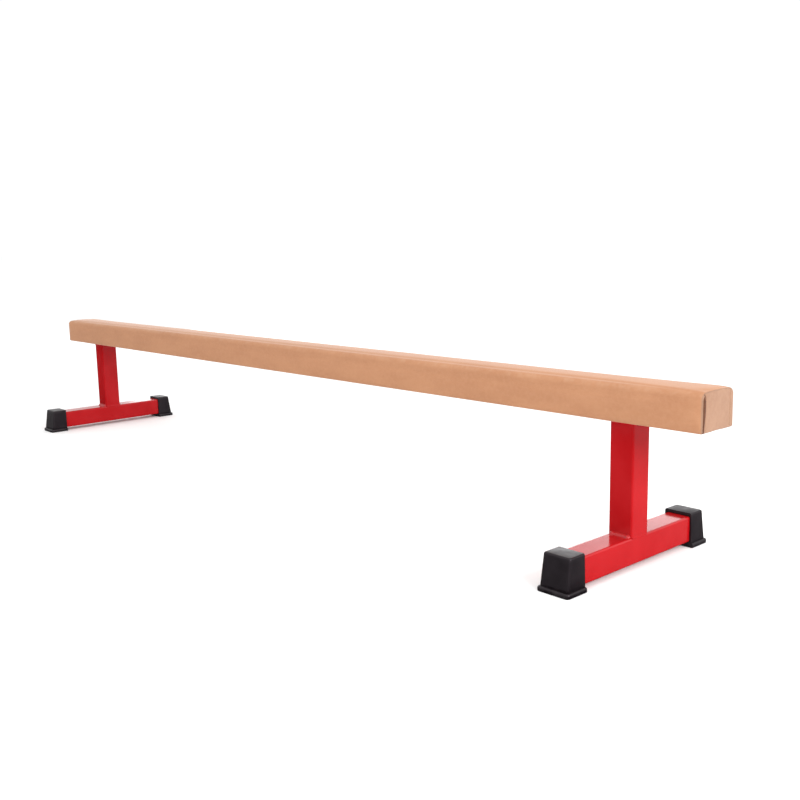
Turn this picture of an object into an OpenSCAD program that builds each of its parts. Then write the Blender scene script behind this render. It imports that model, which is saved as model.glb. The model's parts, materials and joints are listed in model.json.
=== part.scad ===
// Low gymnastics balance beam on two inverted-T legs.
// Origin: floor level under the middle of the beam. +X runs along the beam, +Z is up.

/* [Beam] */
// Length of the covered beam
beam_length = 2400; // [1800:10:3000]
// Width of the covered beam
beam_width = 100; // [90:1:130]
// Depth of the covered beam from its underside to its top
beam_depth = 70; // [60:1:90]
// Height of the walking surface above the floor
beam_height = 340; // [260:5:450]
// Radius of the two long top edges
top_edge_r = 12; // [6:0.5:14]
// Radius of the two long bottom edges
bottom_edge_r = 4; // [3:0.5:6]

/* [Cover and padding] */
// Thickness of the suede cover
cover_t = 1.5; // [1:0.1:2]
// Thickness of the foam along the sides
side_pad_t = 5; // [3:0.5:7]
// Thickness of the foam on each end
end_pad_t = 5; // [3:0.5:10]
// How far the cover's front side folds round onto each end
front_fold = 5; // [5:1:16]
// How far the cover's rear side folds round onto each end
rear_fold = 12; // [5:1:16]
// Width of the closing strip along the underside
strip_w = 30; // [20:1:34]
// Distance between neighbouring staples
staple_pitch = 100; // [50:10:200]

/* [Legs] */
// Distance from a leg's centre line to the nearer end of the beam
leg_inset = 170; // [120:5:400]
// Outer size of the square tube
tube = 50; // [40:1:50]
// Wall of the square tube
tube_wall = 2; // [1.5:0.1:3]
// Outer corner radius of the square tube
tube_r = 4; // [3:0.5:6]
// Length of the base tube that lies across the beam
base_length = 400; // [340:5:500]
// Length of the plate under the beam
plate_l = 140; // [130:5:180]
// Width of the plate under the beam
plate_w = 66; // [64:1:80]
// Thickness of the plate under the beam
plate_t = 3; // [3:0.5:6]

/* [Foot caps] */
// Thickness of the sole under the base tube
sole_t = 10; // [6:1:16]
// Length of base tube held inside a cap
cap_grip = 36; // [25:1:50]
// Rubber above the base tube
cap_roof = 7; // [5:1:9]
// Wall of the cap at its top
cap_wall = 3.5; // [2.5:0.5:5]
// Extra wall that the draft adds at the flange
cap_draft = 1.5; // [1:0.5:3]
// Height of the flange round the sole
flange_h = 9; // [6:1:9]
// How far the flange stands out from the wall
flange_out = 4; // [3:0.5:6]

/* [Screws] */
// Shank radius of a plate screw
screw_r = 4; // [3:0.5:4.5]
// Length of a plate screw from its flush head to its tip
screw_l = 32; // [28:1:40]
// Distance between screws along the beam
screw_dx = 100; // [90:1:110]
// Distance between screws across the beam
screw_dy = 46; // [44:1:48]

/* [Hidden] */
$fn = 64;

right = 1;
left = -1;
front = -1;
rear = 1;

under_z = beam_height - beam_depth;
half_l = beam_length / 2;
leg_x = half_l - leg_inset;

// Inside the cover
pad_half_l = half_l - cover_t;
core_half_l = pad_half_l - end_pad_t;
core_half_w = beam_width / 2 - cover_t - side_pad_t;
core_z0 = under_z + cover_t;
core_z1 = beam_height - top_edge_r;
stave_w = core_half_w * 2 / 3;

// How far a cutting shape runs past the face that it cuts
over = 1;

// Legs
base_z0 = sole_t;
base_z1 = base_z0 + tube;
plate_z0 = under_z - plate_t;
weld_foot_r = 5;
weld_seam_r = 2.5;
weld_seam_in = 1;
weld_plate_r = 4;
weld_l = tube - 2 * tube_r;

// Inserts and screws
head_r = screw_r + plate_t;
insert_wall = 2;
insert_r = screw_r + insert_wall;
insert_l = 16;
tip_room = 2;
hole_deep = screw_l - plate_t - cover_t + tip_room;

// Staples: a flat crown under the cover with two legs in the wood
staple_crown = 10;
staple_wire = 1.2;
staple_t = 0.6;
staple_leg = 9;
staple_in = 5;
staple_plate_gap = 1;
staple_y = strip_w / 2 + staple_in;
staple_count = floor((2 * half_l - staple_pitch) / staple_pitch) + 1;
staple_x = [for (i = [0 : staple_count - 1])
    let (x = (i - (staple_count - 1) / 2) * staple_pitch)
    if (abs(abs(x) - leg_x) > plate_l / 2 + staple_crown / 2 + staple_plate_gap) x];

// Foot caps
cap_end_wall = 4;
cap_end_draft = 8;
cap_round = 3;
cap_slice = 1;
flange_corner_r = 8;
cap_low_r = 6;
cap_top_r = 5;
cap_edge_r = 4;
cap_mouth = base_length / 2 - cap_grip;
cap_top = base_z1 + cap_roof;
cap_end_top = base_length / 2 + cap_end_wall;
cap_end_low = cap_end_top + cap_end_draft;
cap_half_top = tube / 2 + cap_wall;
cap_half_low = cap_half_top + cap_draft;

// ---------- shared shapes ----------

// Square tube outline with round corners, centred
module round_square(size, r) {
    square([size, size - 2 * r], center = true);
    square([size - 2 * r, size], center = true);
    for (x = [-1, 1], y = [-1, 1])
        translate([x * (size / 2 - r), y * (size / 2 - r)]) circle(r);
}

// Beam outline across its length, drawn as y and z, smaller by inset all round
module beam_outline(inset = 0) {
    w = beam_width / 2 - inset;
    z0 = under_z + inset;
    z1 = beam_height - inset;
    rt = top_edge_r - inset;
    rb = bottom_edge_r - inset;
    translate([-w, z0 + rb]) square([2 * w, z1 - rt - z0 - rb]);
    translate([rt - w, z0 + rb]) square([2 * (w - rt), z1 - z0 - rb]);
    translate([rb - w, z0]) square([2 * (w - rb), z1 - rt - z0]);
    for (s = [-1, 1]) {
        translate([s * (w - rt), z1 - rt]) circle(rt);
        translate([s * (w - rb), z0 + rb]) circle(rb);
    }
}

// Stretches an outline drawn as y and z along X, from x0 to x1
module along_beam(x0, x1) {
    translate([x0, 0, 0]) rotate([90, 0, 90]) linear_extrude(x1 - x0) children();
}

// Stretches an outline drawn as x and z along Y, both ways from the middle
module along_y(length) {
    rotate([90, 0, 0]) linear_extrude(length, center = true) children();
}

module at_screws(side) {
    for (sx = [-1, 1], sy = [-1, 1])
        translate([side * leg_x + sx * screw_dx / 2, sy * screw_dy / 2, 0]) children();
}

module insert_holes(side) {
    at_screws(side) {
        translate([0, 0, core_z0]) cylinder(h = insert_l, r = insert_r);
        translate([0, 0, core_z0]) cylinder(h = hole_deep, r = screw_r);
    }
}

module staple_row(y) {
    for (x = staple_x) translate([x, y, under_z]) {
        translate([-staple_crown / 2, -staple_wire / 2, -staple_t])
            cube([staple_crown, staple_wire, staple_t]);
        for (s = [-1, 1])
            translate([s * (staple_crown - staple_t) / 2 - staple_t / 2, -staple_wire / 2, 0])
                cube([staple_t, staple_wire, staple_leg]);
    }
}

// ---------- beam ----------

// One of three boards glued side by side, index -1, 0 or 1 from front to rear
module core_stave(index) {
    color("burlywood") difference() {
        translate([-core_half_l, (index - 0.5) * stave_w, core_z0])
            cube([2 * core_half_l, stave_w, core_z1 - core_z0]);
        if (index != 0) {
            insert_holes(right);
            insert_holes(left);
            staple_row(index * staple_y);
        }
    }
}

module foam_top_pad() {
    color("ivory") along_beam(-core_half_l, core_half_l) intersection() {
        beam_outline(cover_t);
        translate([-beam_width / 2, core_z1]) square([beam_width, top_edge_r]);
    }
}

module foam_side_pad(side) {
    color("ivory") along_beam(-core_half_l, core_half_l) intersection() {
        beam_outline(cover_t);
        translate([side > 0 ? core_half_w : -beam_width / 2, core_z0])
            square([beam_width / 2 - core_half_w, core_z1 - core_z0]);
    }
}

module foam_end_pad(side) {
    color("ivory") along_beam(side > 0 ? core_half_l : -pad_half_l, side > 0 ? pad_half_l : -core_half_l)
        beam_outline(cover_t);
}

// Opening between the folded sides of the cover on one end
module end_window(side) {
    translate([side > 0 ? pad_half_l : -half_l, front_fold - beam_width / 2, under_z])
        cube([half_l - pad_half_l, beam_width - front_fold - rear_fold, beam_depth]);
}

// Wraps the top and both sides, folds round the ends, and turns under beside the closing strip
module suede_cover() {
    color("tan") difference() {
        along_beam(-half_l, half_l) beam_outline();
        along_beam(-pad_half_l, pad_half_l) beam_outline(cover_t);
        end_window(right);
        end_window(left);
        translate([-pad_half_l, -strip_w / 2, under_z]) cube([2 * pad_half_l, strip_w, cover_t]);
        for (side = [left, right]) at_screws(side)
            translate([0, 0, under_z - over]) cylinder(h = cover_t + 2 * over, r = screw_r);
        for (s = [front, rear]) staple_row(s * staple_y);
    }
}

module end_cover(side) {
    color("tan") intersection() {
        end_window(side);
        along_beam(-half_l, half_l) beam_outline();
    }
}

module underside_strip() {
    color("dimgray") translate([-pad_half_l, -strip_w / 2, under_z])
        cube([2 * pad_half_l, strip_w, cover_t]);
}

module cover_staples() {
    color("silver") for (s = [front, rear]) staple_row(s * staple_y);
}

// ---------- legs ----------

module mount_plate(side) {
    color("red") difference() {
        translate([side * leg_x - plate_l / 2, -plate_w / 2, plate_z0]) cube([plate_l, plate_w, plate_t]);
        at_screws(side) translate([0, 0, plate_z0]) cylinder(h = plate_t, r1 = head_r, r2 = screw_r);
    }
}

module post(side) {
    color("red") translate([side * leg_x, 0, base_z1]) linear_extrude(plate_z0 - base_z1) difference() {
        round_square(tube, tube_r);
        round_square(tube - 2 * tube_wall, tube_r - tube_wall);
    }
}

module base_block() {
    translate([0, 0, base_z0 + tube / 2]) along_y(base_length) round_square(tube, tube_r);
}

module base_tube(side) {
    color("red") translate([side * leg_x, 0, base_z0 + tube / 2]) along_y(base_length) difference() {
        round_square(tube, tube_r);
        round_square(tube - 2 * tube_wall, tube_r - tube_wall);
    }
}

// Quarter-round bead that fills the corner between a vertical wall and a level face
module corner_bead(r, length) {
    linear_extrude(length, center = true) intersection() {
        circle(r);
        square(r);
    }
}

// Beads round the top of a post, under the plate
module plate_weld(side) {
    color("red") for (a = [0 : 90 : 270])
        translate([side * leg_x, 0, plate_z0]) rotate([0, 0, a]) translate([tube / 2, 0, 0])
            rotate([90, 90, 0]) corner_bead(weld_plate_r, weld_l);
}

// Corner beads on the base tube's top, and seam beads where post and tube are flush
module foot_weld(side) {
    color("red") translate([side * leg_x, 0, 0]) {
        for (a = [90, 270]) rotate([0, 0, a]) translate([tube / 2, 0, base_z1])
            rotate([90, 0, 0]) corner_bead(weld_foot_r, weld_l);
        difference() {
            for (s = [-1, 1]) translate([s * (tube / 2 - weld_seam_in), 0, base_z1 - weld_seam_in])
                rotate([90, 0, 0]) cylinder(h = weld_l, r = weld_seam_r, center = true);
            base_block();
            translate([0, 0, base_z1]) linear_extrude(tube) square(tube, center = true);
        }
    }
}

module plate_screws(side) {
    color("dimgray") at_screws(side) {
        translate([0, 0, plate_z0]) cylinder(h = plate_t, r1 = head_r, r2 = screw_r);
        translate([0, 0, under_z]) cylinder(h = screw_l - plate_t, r = screw_r);
    }
}

module threaded_inserts(side) {
    color("goldenrod") at_screws(side) translate([0, 0, core_z0]) difference() {
        cylinder(h = insert_l, r = insert_r);
        translate([0, 0, -over]) cylinder(h = insert_l + 2 * over, r = screw_r);
    }
}

// Level slab of a cap's outline between y0 and y1, reaching half across
module cap_slab(half, y0, y1, z, h, r) {
    translate([0, 0, z]) linear_extrude(h) {
        translate([-half, y0]) square([2 * half, y1 - y0 - r]);
        translate([r - half, y0]) square([2 * (half - r), y1 - y0]);
        for (s = [-1, 1]) translate([s * (half - r), y1 - r]) circle(r, $fn = 32);
    }
}

module foot_cap(side, end) {
    color("#231e24") translate([side * leg_x, 0, 0]) mirror([0, end > 0 ? 0 : 1, 0]) difference() {
        union() {
            cap_slab(cap_half_low + flange_out, cap_mouth, cap_end_low + flange_out, 0, flange_h,
                flange_corner_r);
            hull() {
                cap_slab(cap_half_low, cap_mouth, cap_end_low, flange_h, cap_slice, cap_low_r);
                cap_slab(cap_half_top, cap_mouth, cap_end_top, cap_top - cap_round - cap_slice, cap_slice,
                    cap_top_r);
                cap_slab(cap_half_top - cap_round, cap_mouth, cap_end_top - cap_round, cap_top - cap_slice,
                    cap_slice, cap_edge_r);
            }
        }
        base_block();
    }
}

core_stave(-1);  // core_stave_front
core_stave(0);  // core_stave_middle
core_stave(1);  // core_stave_rear
foam_top_pad();
foam_side_pad(front);  // foam_side_pad_front
foam_side_pad(rear);  // foam_side_pad_rear
foam_end_pad(right);  // foam_end_pad_right
foam_end_pad(left);  // foam_end_pad_left
suede_cover();
end_cover(right);  // end_cover_right
end_cover(left);  // end_cover_left
underside_strip();
cover_staples();
mount_plate(right);  // right_mount_plate
mount_plate(left);  // left_mount_plate
post(right);  // right_post
post(left);  // left_post
base_tube(right);  // right_base_tube
base_tube(left);  // left_base_tube
plate_weld(right);  // right_plate_weld
plate_weld(left);  // left_plate_weld
foot_weld(right);  // right_foot_weld
foot_weld(left);  // left_foot_weld
plate_screws(right);  // right_plate_screws
plate_screws(left);  // left_plate_screws
threaded_inserts(right);  // right_threaded_inserts
threaded_inserts(left);  // left_threaded_inserts
foot_cap(right, front);  // right_front_foot_cap
foot_cap(right, rear);  // right_rear_foot_cap
foot_cap(left, front);  // left_front_foot_cap
foot_cap(left, rear);  // left_rear_foot_cap
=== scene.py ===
"""Low balance beam: a padded, suede-covered beam on two red inverted-T legs with rubber feet."""

import json
import math

import bmesh
import bpy
from mathutils import Matrix, Vector, noise
from mathutils.bvhtree import BVHTree

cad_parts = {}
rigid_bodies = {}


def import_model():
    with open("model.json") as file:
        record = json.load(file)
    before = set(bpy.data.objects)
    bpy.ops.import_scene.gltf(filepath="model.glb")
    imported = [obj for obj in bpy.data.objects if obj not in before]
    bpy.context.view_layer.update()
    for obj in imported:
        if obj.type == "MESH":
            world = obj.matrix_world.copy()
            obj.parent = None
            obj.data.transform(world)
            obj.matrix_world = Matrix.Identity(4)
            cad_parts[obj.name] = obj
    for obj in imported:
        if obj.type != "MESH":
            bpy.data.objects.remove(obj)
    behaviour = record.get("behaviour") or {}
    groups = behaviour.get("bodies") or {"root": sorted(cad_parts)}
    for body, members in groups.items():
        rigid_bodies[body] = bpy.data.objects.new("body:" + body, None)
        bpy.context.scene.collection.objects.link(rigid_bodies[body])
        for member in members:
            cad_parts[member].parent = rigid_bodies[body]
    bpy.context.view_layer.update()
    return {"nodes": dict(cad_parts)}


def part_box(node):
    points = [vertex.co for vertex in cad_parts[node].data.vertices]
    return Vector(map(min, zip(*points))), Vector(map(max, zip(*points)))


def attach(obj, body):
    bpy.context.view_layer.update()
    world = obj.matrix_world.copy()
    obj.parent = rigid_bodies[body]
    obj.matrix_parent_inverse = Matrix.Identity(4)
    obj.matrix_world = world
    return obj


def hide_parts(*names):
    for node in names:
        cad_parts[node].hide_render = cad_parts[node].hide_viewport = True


for leftover in list(bpy.data.objects):
    bpy.data.objects.remove(leftover)
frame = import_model()

MM = 0.001
SAME = 1e-6  # lengths in metres that differ by less than this count as equal
SIDES = (("right", 1), ("left", -1))
ENDS = (("front", -1), ("rear", 1))

# ---------- sizes that come from the frame ----------

COVER_LO, COVER_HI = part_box("suede_cover")
STRIP_LO, STRIP_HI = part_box("underside_strip")
TOP_R = COVER_HI.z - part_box("foam_top_pad")[0].z
# Distance from the middle out to the front seam and to the rear seam on each end
FOLD = {-1: -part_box("end_cover_right")[0].y, 1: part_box("end_cover_right")[1].y}

# ---------- cover ----------

BOTTOM_R = 4 * MM  # round of the beam's lower edges
END_R = 4 * MM  # round of the upright and level edges of each end
SLACK = 0.9 * MM  # how much smaller the cover is cut before the padding fills it
SWELL = 1.5 * MM  # the most that the padding pushes the cover out
SINK = 0.2 * MM  # the most that the cover sinks into the padding where its folds pull it tight
SUEDE_T = 1.1 * MM
ROW = 14 * MM  # spacing of the cover's grid lines along the beam
CROWN = 2.2 * MM  # how much lower the padded top is at its edges than along its middle
# Lip width, lip depth and half gap of the piped front seam and the plain rear seam on each end
SEAM_FORM = {-1: (2.4 * MM, 1.6 * MM, 2.1 * MM), 1: (1.2 * MM, 0.6 * MM, 0.12 * MM)}
SEAM_EASE = 6 * MM  # how far from a seam the end panel is still drawn away from it
SEAM_CLOSING = 14 * MM  # height below the top in which a seam closes
EDGE_LIP_W = 1.6 * MM
EDGE_LIP_DEPTH = 0.5 * MM
HEM_W = 1.4 * EDGE_LIP_W  # the cover's turned-under edge beside the closing strip
HEM_DEPTH = 0.9 * MM
STAPLED_Y = 40 * MM  # the underside is held fast out to here, and half as firmly STAPLED_EASE further out
STAPLED_EASE = 8 * MM
SEAM_HOLD = 0.75
SEAM_HOLD_EASE = 5 * MM
WAVE_H = 0.22 * MM  # long and short unevenness of the padding under the cover
RIPPLE_H = 0.10 * MM
SIM_FRAMES = 20
CLOTH = dict(
    quality=5, mass=0.4, tension_stiffness=60, compression_stiffness=60, shear_stiffness=30,
    bending_stiffness=8, use_pressure=True, uniform_pressure_force=4, vertex_group_mass="held",
)


# ---------- mesh helpers ----------


def smoothstep(value):
    value = min(max(value, 0.0), 1.0)
    return value * value * (3 - 2 * value)


def new_object(name, points, faces):
    """A bare mesh object in the row frame."""
    mesh = bpy.data.meshes.new(name)
    mesh.from_pydata([tuple(p) for p in points], [], faces)
    made = bpy.data.objects.new(name, mesh)
    bpy.context.scene.collection.objects.link(made)
    return made


def add_piece(name, points, faces, finish, slot, node=None, sharp=40):
    """A visible piece of the one body, smooth but for edges sharper than so many degrees.

    It stands in the place of a CAD node, where one is given.
    """
    piece = new_object(name, points, faces)
    mesh = piece.data
    mesh.validate()
    mesh.shade_smooth()
    mesh.set_sharp_from_angle(angle=math.radians(sharp))
    mesh.materials.append(finish)
    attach(piece, "root")
    if node:
        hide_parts(node)
    return piece


def settle(piece):
    """Replaces a piece's mesh with what its modifiers make of it."""
    graph = bpy.context.evaluated_depsgraph_get()
    mesh = bpy.data.meshes.new_from_object(piece.evaluated_get(graph))
    piece.modifiers.clear()
    piece.data = mesh


def joined(parts):
    """The points and faces of several meshes as one mesh."""
    points, faces = [], []
    for part_points, part_faces in parts:
        start = len(points)
        points.extend(part_points)
        faces.extend(tuple(start + i for i in face) for face in part_faces)
    return points, faces


def loft(rings):
    """Quads between closed rings with the same number of points, with a face over each end."""
    count = len(rings[0])
    points = [p for ring in rings for p in ring]
    faces = []
    for level in range(len(rings) - 1):
        low, high = level * count, (level + 1) * count
        for i in range(count):
            j = (i + 1) % count
            faces.append((low + i, low + j, high + j, high + i))
    faces.append(tuple(reversed(range(count))))
    faces.append(tuple(range(len(points) - count, len(points))))
    return points, faces


def outward(points, faces):
    """The faces turned to look out of the closed mesh."""
    volume = 0.0
    near = points[0]
    for face in faces:
        a = points[face[0]] - near
        for b, c in zip(face[1:], face[2:]):
            volume += a.dot((points[b] - near).cross(points[c] - near))
    return faces if volume > 0 else [tuple(reversed(face)) for face in faces]


def solid(rings):
    """The closed mesh between rings, with its faces looking out."""
    points, faces = loft(rings)
    return points, outward(points, faces)


def tube_along(path, radii, segments):
    """A round bar along a path, with a radius at each point and domed ends."""
    rings = []
    across = None
    for i, centre in enumerate(path):
        ahead = (path[min(i + 1, len(path) - 1)] - path[max(i - 1, 0)]).normalized()
        if across is None:
            across = ahead.orthogonal().normalized()
        across = (across - ahead * across.dot(ahead)).normalized()
        other = ahead.cross(across)
        ring = []
        for s in range(segments):
            turn = 2 * math.pi * s / segments
            ring.append(centre + radii[i] * (math.cos(turn) * across + math.sin(turn) * other))
        rings.append(ring)
    return solid(rings)


def box_lattice(xs, ys, zs):
    """Grid on the surface of a box: the grid indices of each point, and the quads between them."""
    index_of = {}
    faces = []
    last = (len(xs) - 1, len(ys) - 1, len(zs) - 1)

    def quad(*corners):
        faces.append(tuple(index_of.setdefault(c, len(index_of)) for c in corners))

    for i in range(last[0]):
        for j in range(last[1]):
            for k, up in ((0, False), (last[2], True)):
                ring = [(i, j, k), (i, j + 1, k), (i + 1, j + 1, k), (i + 1, j, k)]
                quad(*(reversed(ring) if up else ring))
        for k in range(last[2]):
            for j, rear in ((0, False), (last[1], True)):
                ring = [(i, j, k), (i + 1, j, k), (i + 1, j, k + 1), (i, j, k + 1)]
                quad(*(reversed(ring) if rear else ring))
    for j in range(last[1]):
        for k in range(last[2]):
            for i, right in ((0, False), (last[0], True)):
                ring = [(i, j, k), (i, j, k + 1), (i, j + 1, k + 1), (i, j + 1, k)]
                quad(*(reversed(ring) if right else ring))
    return list(index_of), faces


def rounded(point, lo, hi, top_r, low_r, end_r):
    """Moves a point on a box's surface to the bar of the same size with rounded edges."""
    mid_x, mid_y = (lo.x + hi.x) / 2, (lo.y + hi.y) / 2
    half_l, half_w = (hi.x - lo.x) / 2, (hi.y - lo.y) / 2
    sign_x = 1 if point.x > mid_x else -1
    sign_y = 1 if point.y > mid_y else -1
    x, y, z = abs(point.x - mid_x), abs(point.y - mid_y), point.z
    depth = min(half_w - y, z - lo.z, hi.z - z)
    from_end = half_l - x
    new_depth = depth
    a, b = end_r - from_end, end_r - depth
    if a > 0 and b > 0:
        scale = max(a, b) / math.hypot(a, b)
        x = half_l - (end_r - a * scale)
        new_depth = end_r - b * scale
    upper = z > (lo.z + hi.z) / 2
    r = top_r if upper else low_r
    side = y - (half_w - r)
    level = z - (hi.z - r) if upper else lo.z + r - z
    if side > 0 and level > 0:
        scale = max(side, level) / math.hypot(side, level)
        if r > depth:
            scale *= (r - new_depth) / (r - depth)
        y = half_w - r + side * scale
        z = hi.z - r + level * scale if upper else lo.z + r - level * scale
    elif new_depth != depth:
        if depth == half_w - y:
            y = half_w - new_depth
        elif depth == hi.z - z:
            z = hi.z - new_depth
        else:
            z = lo.z + new_depth
    return Vector((mid_x + sign_x * x, mid_y + sign_y * y, z))


def crown_drop(point):
    """How far the padded top falls away at a point, from nothing along its middle."""
    middle_z = (COVER_LO.z + COVER_HI.z) / 2
    upper = smoothstep((point.z - middle_z) / (COVER_HI.z - middle_z))
    return CROWN * upper * (point.y / COVER_HI.y) ** 2


def spread(start, stop, step):
    """Evenly spaced values from start to stop, both included, no further apart than step."""
    count = max(1, math.ceil(abs(stop - start) / step - SAME))
    return [start + (stop - start) * i / count for i in range(count + 1)]


def merged(*lists):
    """Sorted values of several lists, each once."""
    out = []
    for value in sorted(v for values in lists for v in values):
        if not out or value - out[-1] > SAME:
            out.append(value)
    return out


# ---------- materials ----------


class Finish:
    """A Principled material, with short calls for the nodes that feed it."""

    def __init__(self, name, **sockets):
        self.material = bpy.data.materials.new(name)
        self.material.use_nodes = True
        self.tree = self.material.node_tree
        self.shader = self.tree.nodes["Principled BSDF"]
        for socket, value in sockets.items():
            self.shader.inputs[socket.replace("_", " ")].default_value = value
        self.place = self.add("TexCoord").outputs["Object"]

    def link(self, source, target):
        self.tree.links.new(source, target)

    def feed(self, socket, source):
        self.link(source, self.shader.inputs[socket])

    def add(self, kind, **inputs):
        """A new node, with an underscore in an input's name for its space."""
        node = self.tree.nodes.new(f"ShaderNode{kind}")
        for socket, value in inputs.items():
            node.inputs[socket.replace("_", " ")].default_value = value
        return node

    def stretched(self, x, y, z):
        node = self.add("Mapping", Scale=(x, y, z))
        self.link(self.place, node.inputs["Vector"])
        return node.outputs["Vector"]

    def noise(self, scale, detail=3.0, roughness=0.55, at=None, distortion=0.0):
        node = self.add("TexNoise", Scale=scale, Detail=detail, Roughness=roughness, Distortion=distortion)
        self.link(at or self.place, node.inputs["Vector"])
        return node.outputs["Fac"]

    def cells(self, scale):
        node = self.add("TexVoronoi", Scale=scale)
        self.link(self.place, node.inputs["Vector"])
        return node.outputs["Distance"]

    def mapped(self, source, low=0.3, high=0.7, to_low=0.0, to_high=1.0):
        """The source's values from low to high, eased to another range."""
        node = self.add("MapRange", From_Min=low, From_Max=high, To_Min=to_low, To_Max=to_high)
        node.interpolation_type = "SMOOTHSTEP"
        self.link(source, node.inputs["Value"])
        return node.outputs["Result"]

    def math(self, operation, first, second=None):
        node = self.add("Math")
        node.operation = operation
        for target, value in zip(node.inputs, (first, second)):
            if isinstance(value, (int, float)):
                target.default_value = value
            elif value is not None:
                self.link(value, target)
        return node.outputs["Value"]

    def axis(self, name):
        node = self.add("SeparateXYZ")
        self.link(self.place, node.inputs["Vector"])
        return node.outputs[name]

    def blend(self, factor, first, second):
        node = self.add("Mix")
        node.data_type = "RGBA"
        self.link(factor, node.inputs["Factor"])
        for target, value in zip([s for s in node.inputs if s.type == "RGBA"], (first, second)):
            if isinstance(value, tuple):
                target.default_value = (*value, 1)
            else:
                self.link(value, target)
        return [s for s in node.outputs if s.type == "RGBA"][0]

    def bump(self, *layers):
        """Height layers as (source, strength, height in metres), from coarse to fine."""
        normal = None
        for source, strength, distance in layers:
            node = self.add("Bump", Strength=strength, Distance=distance)
            self.link(source, node.inputs["Height"])
            if normal is not None:
                self.link(normal, node.inputs["Normal"])
            normal = node.outputs["Normal"]
        self.feed("Normal", normal)

    def finished(self, colour, roughness, *layers):
        """The material, once its colour, roughness and height layers are fed in."""
        self.feed("Base Color", colour)
        self.feed("Roughness", roughness)
        self.bump(*layers)
        return self.material


def suede_finish(name, tones, end_shade_tones=None):
    """Brushed suede, its nap in patches, scuffed on its top edges, with darker end tones where it folds over:
    painted shade that offsets the strong key light on the ends.
    """
    dark, light, pale = tones
    f = Finish(name, Sheen_Weight=0.5, Sheen_Roughness=0.28, Sheen_Tint=(1.0, 0.88, 0.82, 1), IOR=1.3)
    nap = f.noise(26, 4, 0.6, at=f.stretched(0.35, 1, 1))
    patches = f.noise(130, 3, 0.6)
    fibre = f.noise(1500, 2, 0.7)
    tone = f.blend(f.mapped(nap, 0.32, 0.68), dark, light)
    tone = f.blend(f.mapped(patches, 0.3, 0.75, 0, 0.35), tone, pale)
    tone = f.blend(f.mapped(fibre, 0.35, 0.8, 0, 0.3), tone, (0.30, 0.14, 0.07))
    edge = f.mapped(f.math("ABSOLUTE", f.axis("Y")), 0.036, 0.049)
    high = f.mapped(f.axis("Z"), COVER_HI.z - 0.014, COVER_HI.z - 0.002)
    corner = f.math("MULTIPLY", edge, high)
    scuff = f.math("MULTIPLY", corner, f.mapped(f.noise(55, 4, 0.65), 0.42, 0.66, 0, 0.4))
    tone = f.blend(scuff, tone, (0.55, 0.34, 0.225))
    # Painted shade: near each end the suede turns to the darker end tones, to offset the strong key light
    # that falls on the ends.
    if end_shade_tones:
        turned = f.mapped(f.math("ABSOLUTE", f.axis("X")), COVER_HI.x - 5 * MM, COVER_HI.x - 2.5 * MM)
        tone = f.blend(turned, tone, f.blend(f.mapped(nap, 0.32, 0.68), *end_shade_tones[:2]))
    layers = (patches, 0.25, 0.0006), (f.noise(600, 3, 0.7), 0.3, 0.0003), (fibre, 0.35, 0.00015)
    return f.finished(tone, f.mapped(nap, 0.3, 0.7, 0.84, 0.96), *layers)


def cord_finish(name, ply, drawn, tones, roughness, height, **sockets):
    """Twisted piping or sewing thread, its plies drawn out or crowded along Z."""
    f = Finish(name, **sockets)
    twist = f.noise(*ply, at=f.stretched(1, 1, drawn))
    tone = f.blend(f.mapped(twist), *tones)
    return f.finished(tone, f.mapped(twist, 0.3, 0.7, *roughness), (twist, 0.5, height))


def paint_finish():
    """Glossy red powder coat with a slight orange peel, a few dull scuffs low down."""
    f = Finish("red_paint", IOR=1.5, Specular_Tint=(1.0, 0.95, 1.0, 1))
    peel = f.noise(260, 2, 0.5)
    drift = f.noise(14, 3, 0.5)
    tone = f.blend(f.mapped(drift), (0.385, 0.0035, 0.0055), (0.425, 0.0050, 0.0075))
    low = f.mapped(f.axis("Z"), 0.09, 0.02)
    dull = f.math("MULTIPLY", low, f.mapped(f.noise(48, 5, 0.7), 0.58, 0.75, 0, 0.10))
    gloss = f.math("ADD", f.mapped(drift, 0.3, 0.7, 0.13, 0.19), dull)
    return f.finished(tone, gloss, (peel, 0.10, 0.0004), (f.noise(1100, 2, 0.5), 0.06, 0.0001))


def rubber_finish():
    """Moulded black rubber: satin, finely grained, greyer where it is rubbed and dusty near the floor."""
    f = Finish("rubber", IOR=1.42, Specular_Tint=(1.0, 0.9, 0.98, 1))
    grain = f.noise(900, 3, 0.6)
    cloud = f.noise(38, 4, 0.6)
    tone = f.blend(f.mapped(cloud), (0.0045, 0.0025, 0.0037), (0.0080, 0.0052, 0.0070))
    dust = f.math("MULTIPLY", f.mapped(f.axis("Z"), 0.018, 0.002), f.mapped(cloud, 0.4, 0.7, 0, 0.35))
    tone = f.blend(dust, tone, (0.040, 0.036, 0.036))
    return f.finished(tone, f.mapped(cloud, 0.3, 0.7, 0.36, 0.48), (grain, 0.3, 0.00012))


def lining_finish():
    """Dark grey non-woven lining: pressed fibres with a grid of bonded dots."""
    f = Finish("lining", Sheen_Weight=0.1, IOR=1.35)
    fibres = f.noise(700, 4, 0.7, at=f.stretched(0.5, 1, 1), distortion=1.5)
    dots = f.mapped(f.cells(360), 0.15, 0.4)
    tone = f.blend(f.mapped(fibres), (0.030, 0.030, 0.032), (0.075, 0.073, 0.075))
    tone = f.blend(f.math("SUBTRACT", 1.0, dots), tone, (0.022, 0.022, 0.024))
    return f.finished(tone, f.mapped(fibres, 0.3, 0.7, 0.8, 0.95), (dots, 0.4, 0.0003), (fibres, 0.4, 0.0001))


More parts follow.
